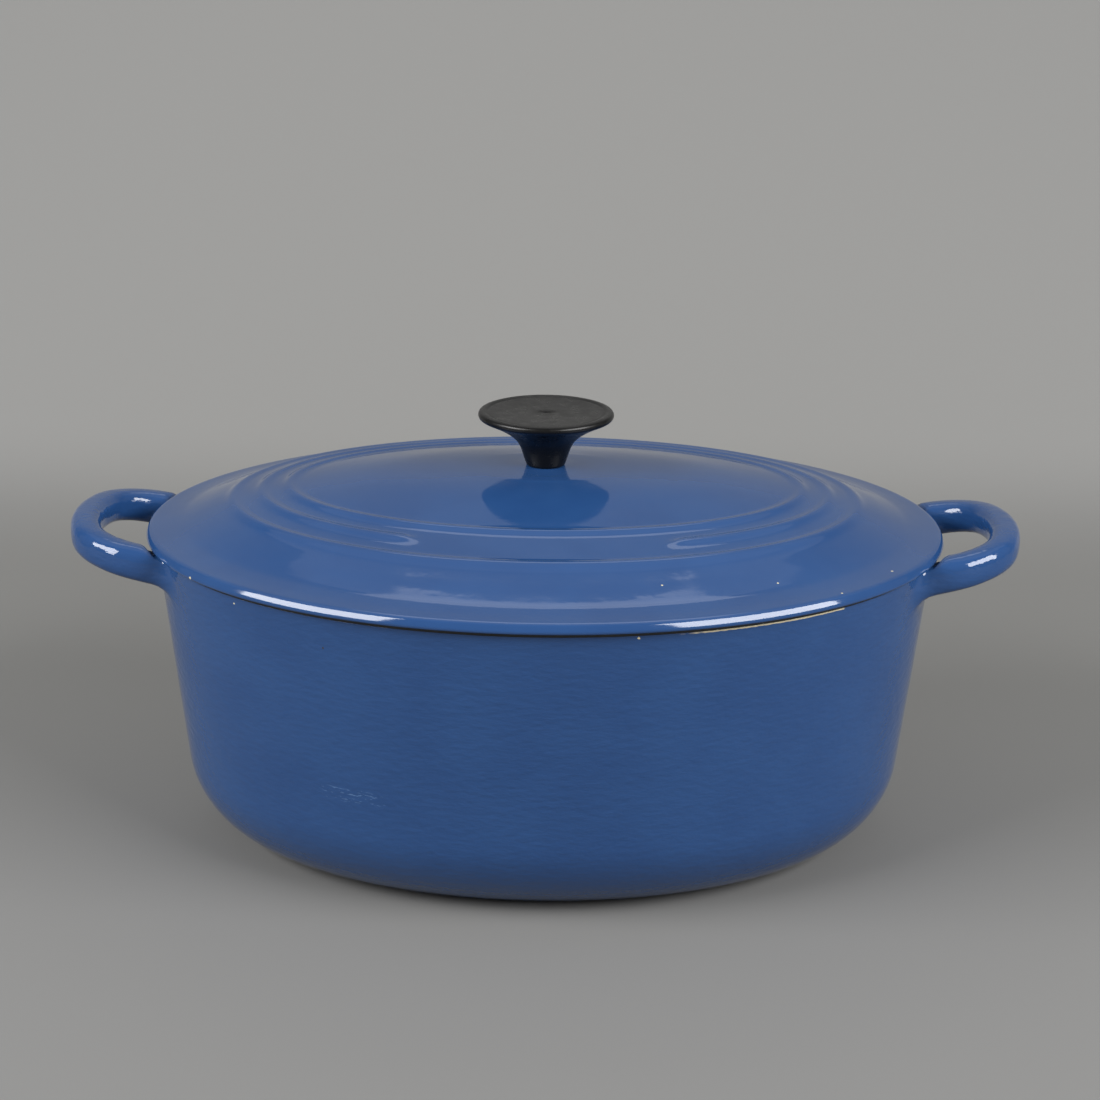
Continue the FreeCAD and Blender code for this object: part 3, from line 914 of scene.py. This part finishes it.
# The knob's outline in millimetres: radius and height over its foot, then radius and depth under
# its top, inwards from the round edge over a fine groove and a shallow dish. The last two points
# close the screw's hole inside.
KNOB_STEM = [(7.3, 0.0), (7.9, 0.35), (8.15, 1.0), (8.4, 1.7), (8.7, 2.6), (9.0, 3.5), (9.35, 4.6),
             (9.7, 5.6), (10.15, 7.0), (10.7, 8.2), (11.3, 9.3), (12.0, 10.3), (12.8, 11.2), (13.8, 12.1),
             (15.1, 13.2), (16.6, 14.2), (18.3, 15.3), (20.2, 16.4), (22.1, 17.4), (23.8, 18.2),
             (25.3, 18.9), (26.4, 19.4)]
KNOB_TOP = [(25.8, 0.0), (25.2, 0.04), (24.6, 0.16), (24.1, 0.42), (23.7, 0.50), (23.3, 0.42), (22.6, 0.45),
            (18.0, 0.65), (12.0, 0.85), (6.0, 0.97), (0.02, 1.0)]
KNOB_HOLE_END = [(0.02, 14.5), (SCREW_HOLE / MM, 14.0)]


def knob_piece(material):
    """Turned phenolic knob: trumpet stem, thin round edge, dished top and a blind hole for the screw."""
    base = KNOB_BOX[0].z
    top = KNOB_BOX[1].z
    radius = KNOB_BOX[1].x
    edge_z = top - 1.6 * MM
    edge_depth, edge_half_height = 1.25 * MM, 1.45 * MM
    section = [(SCREW_HOLE, base)]
    section += [(r * MM, base + up * MM) for r, up in KNOB_STEM]
    for angle in np.linspace(-70, 80, 12):
        turn = math.radians(angle)
        back = edge_depth * (1 - math.cos(turn))
        section.append((radius - back, edge_z + edge_half_height * math.sin(turn)))
    section += [(r * MM, top - down * MM) for r, down in KNOB_TOP]
    section += [(r * MM, base + up * MM) for r, up in KNOB_HOLE_END]
    points = oval_points(round_rows(section), KNOB_COLUMNS).reshape(-1, 3)
    faces = oval_faces(len(section), KNOB_COLUMNS, closed=True)
    piece = piece_from("knob_moulding", points, faces, "lid", material, "knob")
    recalculate(piece)
    return piece


# ---------------------------------------------------------------- stage

PAPER_HALF_WIDTH = 3.5
PAPER_HEIGHT = 3.5
PAPER_FRONT_Y = -3.0
PAPER_BEND_Y = 0.45
PAPER_BEND = 1.0                        # radius of the sweep from the floor into the wall
# Only the first tone is the paper's own. The lighter ones are painted light, standing in for how the lamps
# fall on the floor beside the object, on the sweep and on the wall.
PAPER_FLOOR = (0.160, 0.159, 0.155, 1.0)
PAPER_BESIDE_PAINTED_LIGHT = (0.174, 0.173, 0.166, 1.0)
PAPER_SWEEP_PAINTED_LIGHT = (0.268, 0.266, 0.259, 1.0)
PAPER_WALL_PAINTED_LIGHT = (0.36, 0.358, 0.35, 1.0)


def backdrop():
    """Pale floor that runs up into a back wall in one sweep."""
    line = [(PAPER_FRONT_Y, 0.0), (0.0, 0.0)]
    for angle in np.linspace(0, math.pi / 2, 40):
        line.append((PAPER_BEND_Y + PAPER_BEND * math.sin(angle), PAPER_BEND - PAPER_BEND * math.cos(angle)))
    line.append((PAPER_BEND_Y + PAPER_BEND, PAPER_HEIGHT))
    points = [(side * PAPER_HALF_WIDTH, y, z) for side in (-1, 1) for y, z in line]
    count = len(line)
    faces = [(i, i + 1, count + i + 1, count + i) for i in range(count - 1)]
    mesh = bpy.data.meshes.new("backdrop")
    mesh.from_pydata(points, [], faces)
    mesh.shade_smooth()
    mesh.materials.append(paper())
    sweep = bpy.data.objects.new("backdrop", mesh)
    bpy.context.scene.collection.objects.link(sweep)


def paper():
    """Matte paper with painted light: its colour is made lighter beside and behind the object and up the
    wall, standing in for how the lamps fall on it.
    """
    shader = Shader("backdrop_paper_painted_light")
    depth = shader.axis("Y")
    # Painted light: a lighter band beside and behind the object, lighter again up the sweep, and lightest on
    # the wall.
    painted_light_beside = shader.math("MULTIPLY", shader.remap(depth, -0.05, 0.22), shader.remap(depth, 0.62, 0.30))
    tone = shader.mix(painted_light_beside, PAPER_FLOOR, PAPER_BESIDE_PAINTED_LIGHT)
    tone = shader.mix(shader.remap(depth, 0.32, 0.60), tone, PAPER_SWEEP_PAINTED_LIGHT)
    shader.colour(shader.mix(shader.remap(shader.axis("Z"), 0.25, 0.9), tone, PAPER_WALL_PAINTED_LIGHT))
    shader.set(Roughness=0.9)
    return shader.material


LIGHT_AIM_Z = 0.10


def softbox(name, azimuth, elevation, distance, width, height, radiance):
    """A rectangular light that faces the object. Azimuth 0 is in front, and 90 is to the right."""
    light = bpy.data.lights.new(name, "AREA")
    light.shape = "RECTANGLE"
    light.size = width
    light.size_y = height
    light.energy = math.pi * width * height * radiance
    lamp = bpy.data.objects.new(name, light)
    turn, lift = math.radians(azimuth), math.radians(elevation)
    aim = Vector((math.sin(turn) * math.cos(lift), -math.cos(turn) * math.cos(lift), math.sin(lift)))
    lamp.location = Vector((0, 0, LIGHT_AIM_Z)) + distance * aim
    lamp.rotation_euler = aim.to_track_quat("Z", "Y").to_euler()
    lamp.visible_camera = False
    bpy.context.scene.collection.objects.link(lamp)


def lights():
    """Two softboxes in front, two weak panels behind and above, and a grey room."""
    softbox("left_softbox", -60, 28, 1.6, 1.15, 0.70, 13.2)
    softbox("right_softbox", 55, 28, 1.6, 1.25, 0.70, 13.2)
    softbox("back_ceiling", 180, 52, 2.0, 0.85, 0.50, 1.05)
    softbox("overhead", 180, 68, 2.2, 3.4, 2.6, 0.30)
    world = bpy.data.worlds.new("studio")
    world.use_nodes = True
    background = world.node_tree.nodes["Background"]
    background.inputs["Color"].default_value = (0.62, 0.62, 0.62, 1.0)
    background.inputs["Strength"].default_value = 0.4
    bpy.context.scene.world = world


CAMERA_PLACE = (0.01385, -1.0830, 0.4645)
CAMERA_PITCH = math.radians(17.643)     # downwards
CAMERA_YAW = math.radians(0.618)
CAMERA_ROLL = math.radians(0.612)


def camera():
    """A long lens in front of the object, a little above it."""
    data = bpy.data.cameras.new("camera")
    data.lens = 90.2
    data.sensor_width = 36.0
    view = bpy.data.objects.new("camera", data)
    view.location = CAMERA_PLACE
    aim = Euler((math.pi / 2 - CAMERA_PITCH, 0, CAMERA_YAW), "XYZ").to_matrix()
    spin = Euler((0, 0, CAMERA_ROLL), "XYZ").to_matrix()
    view.rotation_euler = (aim @ spin).to_euler()
    bpy.context.scene.collection.objects.link(view)
    bpy.context.scene.camera = view


# ---------------------------------------------------------------- the whole

def show_with(node, material):
    """Swaps a CAD node's material."""
    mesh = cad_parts[node].data
    mesh.materials.clear()
    mesh.materials.append(material)


def finish_cad_nodes(iron, brass, steel):
    """Gives the CAD nodes that stay their materials."""
    for name in ("pot_casting", "lid_casting"):
        show_with(name, iron)
    show_with("knob_insert", brass)
    for name in ("knob_screw", "knob_washer", "knob_lock_washer"):
        show_with(name, steel)


def main():
    wall_blue = wall_enamel()
    lid_blue = lid_enamel()
    cream = cream_enamel("cream_enamel")
    black = black_rim_enamel("black_rim_enamel")
    pot_glaze(wall_blue)
    base_glaze(lid_blue)
    inner_glaze(cream)
    rim_band(black)
    lid_glaze(lid_blue)
    lid_under_glaze(cream)
    lid_rim_band(black)
    knob_piece(black_phenolic("black_phenolic"))
    brass = metal("turned_brass", (0.62, 0.44, 0.17, 1.0), (0.52, 0.36, 0.13, 1.0), 0.22)
    steel = metal("stainless_steel", (0.60, 0.60, 0.61, 1.0), (0.48, 0.48, 0.49, 1.0), 0.25)
    finish_cad_nodes(cast_iron("raw_cast_iron"), brass, steel)
    backdrop()
    lights()
    camera()
    bpy.context.scene.view_settings.view_transform = "Standard"


main()
